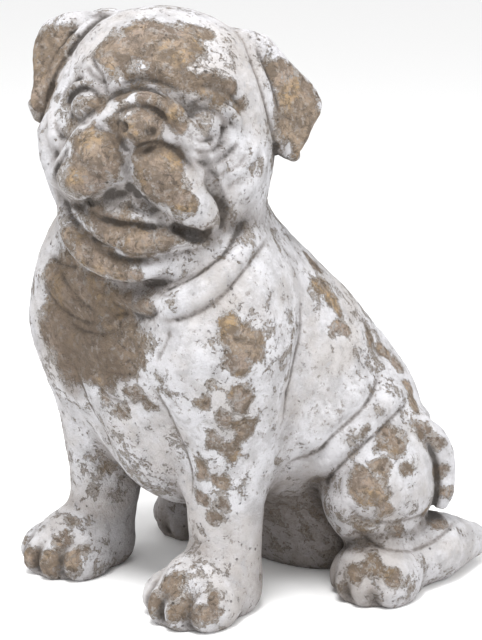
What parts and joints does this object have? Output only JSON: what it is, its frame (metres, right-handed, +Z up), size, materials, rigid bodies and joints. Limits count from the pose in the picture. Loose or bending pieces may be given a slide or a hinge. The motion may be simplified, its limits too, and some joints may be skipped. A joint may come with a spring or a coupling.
{
  "type": "pug garden statue",
  "caption": "Seated pug dog cast in one piece of stone, its head turned, with folded ears, a wrinkled muzzle and rolls of skin; stands in a garden.",
  "frame": {"origin": "centre of the figure's bounding box, on the ground under its feet", "axes": "+Z up; the dog's chest and paws face -Y; its left side is +X"},
  "size_m": [0.2511, 0.2744, 0.3816],
  "materials": {
    "weathered_stone": "matt cast stone under flaking pale whitewash, tan where bare, with grime in the creases"
  },
  "bodies": {
    "root": {"pug_statue": "weathered_stone"}
  },
  "joints": []
}
